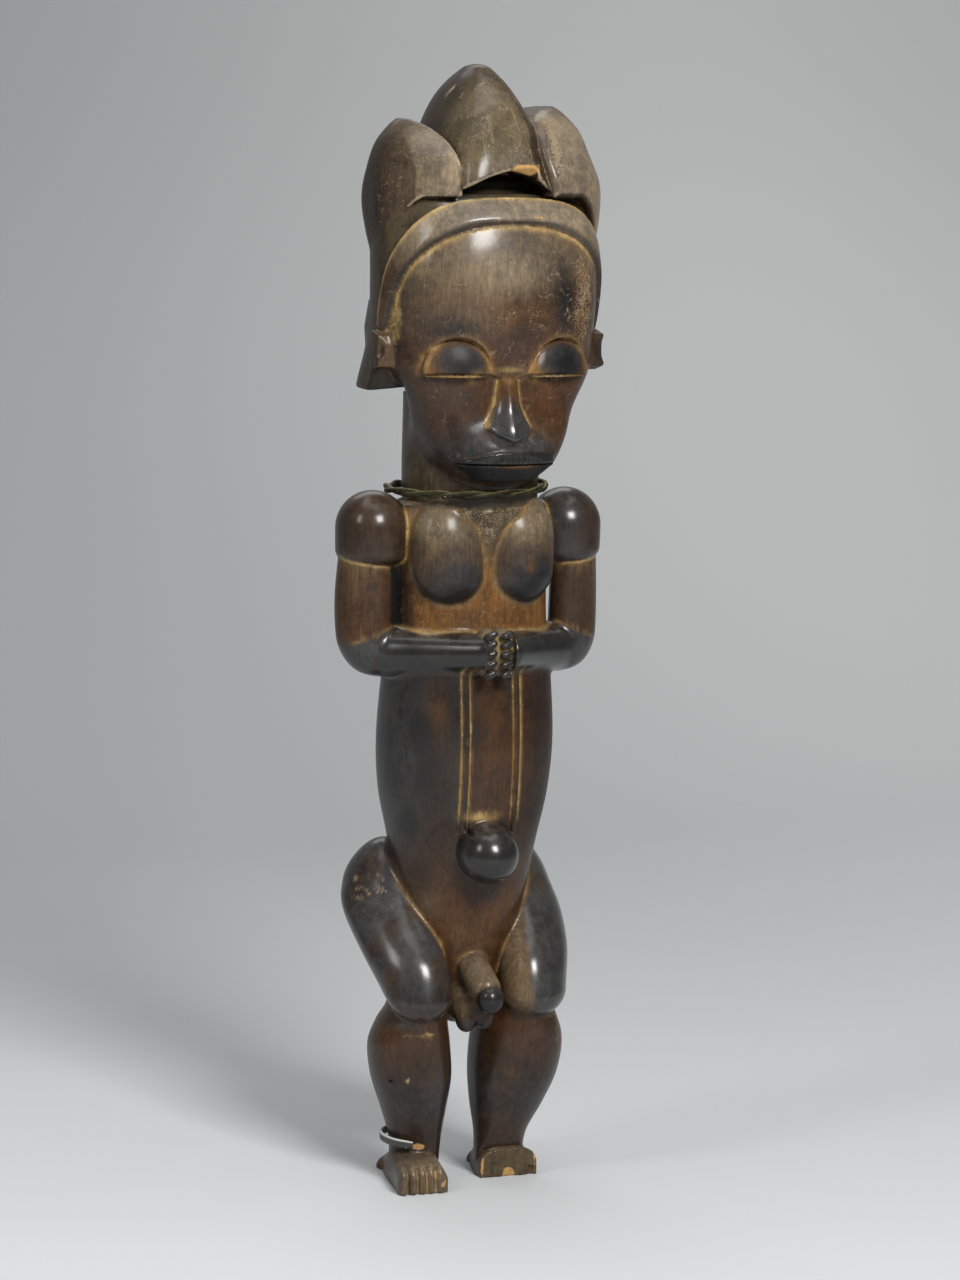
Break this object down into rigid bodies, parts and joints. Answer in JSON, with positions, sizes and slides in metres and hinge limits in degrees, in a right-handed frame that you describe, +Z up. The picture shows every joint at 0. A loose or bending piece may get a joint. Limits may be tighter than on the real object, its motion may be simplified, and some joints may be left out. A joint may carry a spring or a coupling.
{
  "type": "standing guardian figure",
  "caption": "Standing male guardian figure carved from one block of dark wood, with joined hands, domed forehead, crested coiffure, metal neck ring and anklet, and a broken left foot.",
  "frame": {"origin": "on the ground, under the middle of the figure's box", "axes": "+Z up, -Y the way he faces, +X his own left side; he stands on his soles at z = 0"},
  "size_m": [0.1492, 0.1167, 0.6],
  "materials": {
    "carved_wood": "oiled, dark, glossy where handled",
    "ring_metal": "green-black patina, matte",
    "strip_metal": "dull grey, satin"
  },
  "bodies": {
    "root": {"figure": "carved_wood", "neck_ring": "ring_metal", "anklet": "strip_metal"}
  },
  "joints": []
}
